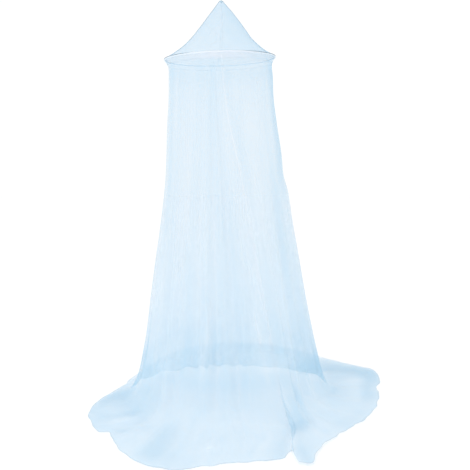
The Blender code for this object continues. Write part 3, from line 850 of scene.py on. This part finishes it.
def curtainPoints():
    rows = stations()
    base = place(rows[:, 1], rows[:, 0], rows[:, 2], rows[:, 5])
    gaps = np.linalg.norm(np.diff(base, axis=0), axis=2).mean(axis=1)
    at = np.concatenate([[0], np.cumsum(gaps)])
    footAt = at[-len(pool) - 1]
    down = np.concatenate([
        [0.0, 0.004, 0.009], np.linspace(0, footAt, curtain["hangRows"] + 1)[1:-1],
        np.linspace(footAt, at[-1], curtain["floorRows"] + 1),
    ])
    flat = readTable(np.c_[at, rows.reshape(len(rows), -1)], down)
    bearing, radius, height, depth, ridge, tilt, lapUp = np.moveaxis(flat.reshape(len(down), 7, -1), 1, 0)

    wave = np.cos(2 * math.pi * curtain["folds"] * widths)
    hungKept, footKept = readTable(byWidth, widths).T[:2]
    size = (1 + wavesOverWidth(foldSizeWaves)) * awayFromEdges(curtain["foldStart"], curtain["plainEdge"])
    size = size * (hungKept + (footKept - hungKept) * partOn(down, curtain["footFolds"]))
    plain = place(radius, bearing, height + lapUp, tilt)
    radius = radius - depth * size * (1 - wave) / 2
    valley = curtain["flatValleys"]
    height = height + lapUp + ridge * size * (np.maximum(wave, -valley) + valley) / (1 + valley)
    return down, plain, place(radius, bearing, height, tilt)


down, plain, cloth = curtainPoints()


def finelyFolded(down, plain, cloth):
    # the cloth with its finer folds, which go in and out along its normal
    acrossStep = np.gradient(plain, axis=1)
    downStep = np.gradient(plain, axis=0)
    width = np.linalg.norm(acrossStep, axis=2, keepdims=True)
    tangent = acrossStep / width
    normal = np.cross(downStep, acrossStep)
    normal /= np.linalg.norm(normal, axis=2, keepdims=True)
    outward = place(1.0, np.degrees(np.arctan2(plain[..., 1], plain[..., 0])), hangHeight)
    outward += [0, 0, 0.5]  # and upward, where it lies on the floor
    normal *= np.sign((normal * outward).sum(-1, keepdims=True))
    depths = readTable(fineDepth, down).T[:, :, None]
    kept = readTable(byWidth, widths)[:, 0]
    moved = cloth.copy()
    for kind, (count, wander) in enumerate(fine["kinds"]):
        turns = unevenTurns(count, fine["unevenWidths"])[None] + wander * softField(down, 5, 40)
        phase = 2 * math.pi * turns
        strength = fine["strength"][0] + fine["strength"][1] * softField(down, 6, count)
        strength = strength * awayFromEdges(fine["edge"])
        depth = depths[kind] * np.clip(strength, fine["weakest"], fine["strongest"]) * kept
        moved += normal * (depth * ((np.cos(phase) - 1) / 2 + partOn(down, fine["turnsOut"])))[..., None]
        if kind == 0:
            turnWidth = width[..., 0] * curtain["columns"] / count
            lean = fine["overhang"] * turnWidth * np.clip(strength * depths[0] / fine["fullLean"], 0, 1.2)
            moved += tangent * (lean * np.sin(2 * phase))[..., None]
    moved += normal * raised[..., None]
    lowest = floorZ + curtain["clearance"]
    above = moved[..., 2] - lowest
    moved[..., 2] = lowest + (above + np.hypot(above, fine["settling"])) / 2
    return moved


def creased(down, plain):
    # how high the creases raise each point, and how much fuller the cloth is there
    clothWidth = np.linalg.norm(np.diff(plain, axis=1), axis=2).sum(axis=1)
    raised, fuller = np.zeros(plain.shape[:2]), np.zeros(plain.shape[:2])
    for half, height, amount, path in creases:
        scale = np.interp(np.mean([p[0] for p in path]), down, clothWidth)
        path = np.array([(w * scale, d) for d, w in path])
        across, along = widths[None] * scale, down[:, None]
        lengths = np.concatenate([[0], np.cumsum(np.hypot(*np.diff(path, axis=0).T))])
        nearest, passed = np.full(plain.shape[:2], np.inf), np.zeros(plain.shape[:2])
        for (x0, y0), (x1, y1), start in zip(path[:-1], path[1:], lengths[:-1]):
            length = math.hypot(x1 - x0, y1 - y0)
            t = np.clip(((across - x0) * (x1 - x0) + (along - y0) * (y1 - y0)) / length**2, 0, 1)
            gap = np.hypot(across - x0 - t * (x1 - x0), along - y0 - t * (y1 - y0))
            passed = np.where(gap < nearest, start + t * length, passed)
            nearest = np.minimum(gap, nearest)
        passed = passed / (0.3 * lengths[-1])  # a crease fades in and out over 0.3 of its length
        ends = smooth(passed) * smooth(1 / 0.3 - passed)
        shape = np.exp(-((nearest / half) ** 2)) * ends
        raised += height * shape
        fuller += amount * shape
    return raised, fuller


raised, fuller = creased(down, plain)
moved = finelyFolded(down, plain, cloth)


def gathers(down, plain, moved):
    # how many layers' worth of net there is at each point, with the gathers that are too fine for the mesh
    folded, unfolded = (np.linalg.norm(np.gradient(grid, axis=1), axis=2) for grid in (moved, plain))
    ratio = np.clip(folded / np.maximum(unfolded, 1e-5), 0.8, 1.8)
    front, back, folds = readTable(fullness, down).T[:, :, None]
    hung, lying, behind = readTable(byWidth, widths).T[2:]
    onFloor = partOn(down, curtain["onFloor"])
    uneven = 1 + curtain["unevenness"] * softField(down, 4, 36)
    side = hung * (1 - onFloor) + lying * onFloor
    wholly = (1 + folds * (ratio - 1)) * (front * (1 - behind) + back * behind) * side * uneven
    return wholly * np.maximum(1 + fuller, 0.3)


gather = gathers(down, plain, moved)
clothAt = np.stack(np.meshgrid((widths - 0.5) * curtain["flatWidth"], down), -1)
curtainNet = gridMesh("curtainNet", moved, clothAt, netFabric, gather=gather)
hemLift = [0, 0, 0.0012]
hemRoll = alongPaths(
    "curtainHem", sectionAlongPath, [moved[-1] + hemLift],
    Radius=0.0018, Flatten=0.7, Sides=8, Spacing=0.006, Material=hemThread,
)
slitHems = alongPaths(
    "slitHems", sectionAlongPath, [moved[1:, 0], moved[1:, -1]],
    Radius=0.0010, Flatten=1.0, Sides=8, Spacing=0.006, Material=edgeThread,
)
hemRow = moved[-1] + (moved[-2] - moved[-1]) * 0.15 + hemLift
slitRows = [
    moved[1:, column] + (moved[1:, inner] - moved[1:, column]) * 0.9 for column, inner in ((0, 1), (-1, -2))
]
longStitchRow = {**stitchRow, "Pitch": 0.005, "Length": 0.0038}
curtainStitches = alongPaths("curtainStitches", stitchesAlongPath, [hemRow, *slitRows], **longStitchRow)
hemLength = np.linalg.norm(np.diff(moved[-1], axis=0), axis=1).sum()
print(f"curtain made, {clothArea(moved):.2f} square metres, hem {hemLength:.2f} m, {down[-1]:.2f} m down")


loop = {
    "radius": 0.009,  # inside its round top, where the hook bears
    "rise": 0.036,
    "narrowing": 0.62,  # how much of its width is gone at its foot
    "tape": 0.0015,  # how thick it is
    "tapeWidth": 0.007,
    "endsRadius": 0.0051,  # of its rolled ends in the cone's tip
    "endsLength": 0.012,
}
angles = np.radians(np.linspace(0, 360, 97)[:-1])
fall = (1 - np.sin(angles)) / 2
middle = loop["radius"] + loop["tape"] / 2
loopPath = np.stack([
    middle * np.cos(angles) * (1 - loop["narrowing"] * fall**2),
    np.zeros_like(angles),
    middle * np.sin(angles) - loop["radius"] - (loop["rise"] - 2 * loop["radius"]) * fall,
], -1)
tapeLoop = alongPaths(
    "tapeLoop", sectionAlongPath, [loopPath], closed=True, Radius=loop["tapeWidth"] / 2,
    Flatten=loop["tape"] / loop["tapeWidth"], Sides=16, Spacing=0.0012, Material=tapeWoven,
)
endsPath = [(0, 0, -loop["rise"] - 0.0005 - loop["endsLength"] * t) for t in np.linspace(0, 1, 12)]
tapeEnds = alongPaths(
    "tapeEnds", sectionAlongPath, [endsPath],
    Radius=loop["endsRadius"], Flatten=1.0, Sides=20, Spacing=0.001, Material=tapeWoven,
)
print("loop made")


standsFor = [  # piece, the nodes it takes the place of, its slot
    (hoop, ["hoop"], "hoop"),
    (band, ["hoop_casing"], "folded_net"),
    (curtainNet, ["curtain"], "net"),
    (tapeLoop, ["hanging_loop"], "tape"),
    (tapeEnds, ["hanging_loop"], "tape"),
]
standsFor += [(piece, [], "net") for piece in (sideSeams, flatSeams, casingSeam, hemRoll, slitHems)]
standsFor += [(piece, [], None) for piece in (casingStitches, coneStitches, curtainStitches)]
standsFor += [(gore, [f"crown_gore_{number + 1}"], "net") for number, gore in enumerate(gores)]
for piece, nodes, slot in standsFor:
    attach(piece, "root")
    if nodes:
        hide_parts(*nodes)


studio = {
    "worldStrength": 1.03,
    "floorColour": "#FEFEFF",
    "floorReach": 12.0,
    "exposure": 0.0,
}
scene.world = bpy.data.worlds.new("studio white")
scene.world.use_nodes = True
background = scene.world.node_tree.nodes["Background"]
background.inputs["Color"].default_value = (1, 1, 1, 1)
background.inputs["Strength"].default_value = studio["worldStrength"]

floorMesh = bpy.data.meshes.new("floor")
reach = studio["floorReach"]
floorCorners = [(reach * x, reach * y, floorZ) for x, y in ((-1, -1), (1, -1), (1, 1), (-1, 1))]
floorMesh.from_pydata(floorCorners, [], [(0, 1, 2, 3)])
# matt white paint, faintly mottled, so that only the net's soft shadow shows on it
floorMaterial, tree, shader = newMaterial("matt white painted floor", Roughness=0.9)
at = addNode(tree, "ShaderNodeTexCoord").outputs["Object"]
grain = addNode(tree, "ShaderNodeTexNoise", vector=at, scale=3.0, detail=2.0).outputs["Fac"]
patterned(tree, shader, grain, linearColour(studio["floorColour"]), linearColour("#FFFFFF"))
floorMesh.materials.append(floorMaterial)
floor = bpy.data.objects.new("floor", floorMesh)
scene.collection.objects.link(floor)


def softLight(name, location, target, size, power):
    light = bpy.data.lights.new(name, "AREA")
    light.shape = "DISK"
    light.size = size
    light.energy = power
    lamp = bpy.data.objects.new(name, light)
    scene.collection.objects.link(lamp)
    lamp.location = location
    lamp.visible_camera = False
    away = np.array(location) - np.array(target)
    lamp.rotation_euler = (
        math.acos(away[2] / np.linalg.norm(away)), 0.0, math.atan2(away[1], away[0]) + math.pi / 2
    )


lights = [  # name, where it is, what it shines on, size, watts
    ("topLight", (0.0, -0.4, 2.2), (0, -0.4, -2.2), 5.0, 10.0),
    ("keyLight", (-2.6, -3.2, 1.6), (0, 0, -1.1), 2.4, 25.0),
]
for values in lights:
    softLight(*values)

view = {
    "location": (-0.007, -3.3, -0.7563),
    "pitchDown": 9.289,
    "yawRight": 1.411,
    "lens": 45.29,
    "sensor": 36.0,
}
cameraData = bpy.data.cameras.new("camera")
cameraData.lens = view["lens"]
cameraData.sensor_width = view["sensor"]
camera = bpy.data.objects.new("camera", cameraData)
scene.collection.objects.link(camera)
camera.location = view["location"]
camera.rotation_euler = (math.radians(90 - view["pitchDown"]), 0.0, math.radians(-view["yawRight"]))
scene.camera = camera

scene.view_settings.view_transform = "Standard"
scene.view_settings.exposure = studio["exposure"]
scene.cycles.transparent_max_bounces = 64
print("floor, light and camera made")
